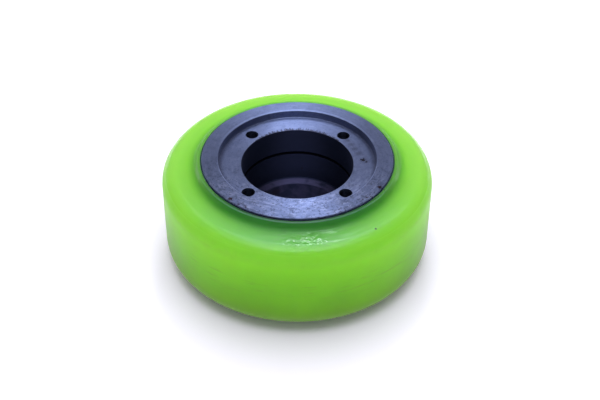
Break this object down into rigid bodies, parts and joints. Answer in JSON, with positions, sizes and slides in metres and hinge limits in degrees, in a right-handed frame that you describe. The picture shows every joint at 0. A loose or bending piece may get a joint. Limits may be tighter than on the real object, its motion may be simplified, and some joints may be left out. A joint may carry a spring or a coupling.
{
  "type": "forklift wheel",
  "caption": "Forklift wheel with a thick polyurethane tread on a turned iron hub that has a stepped bearing bore, a retaining ring groove and a recessed, bolted face.",
  "frame": {"origin": "centre of the wheel, on its axis in the middle plane of the tread", "axes": "+Z along the wheel's axis, towards the side with the recess and the bolt holes; +X midway between two bolt holes"},
  "size_m": [0.23, 0.23, 0.0966],
  "materials": {
    "turned_iron": "satin",
    "green_polyurethane": "gloss"
  },
  "bodies": {
    "root": {"hub": "turned_iron", "tread": "green_polyurethane"}
  },
  "joints": []
}
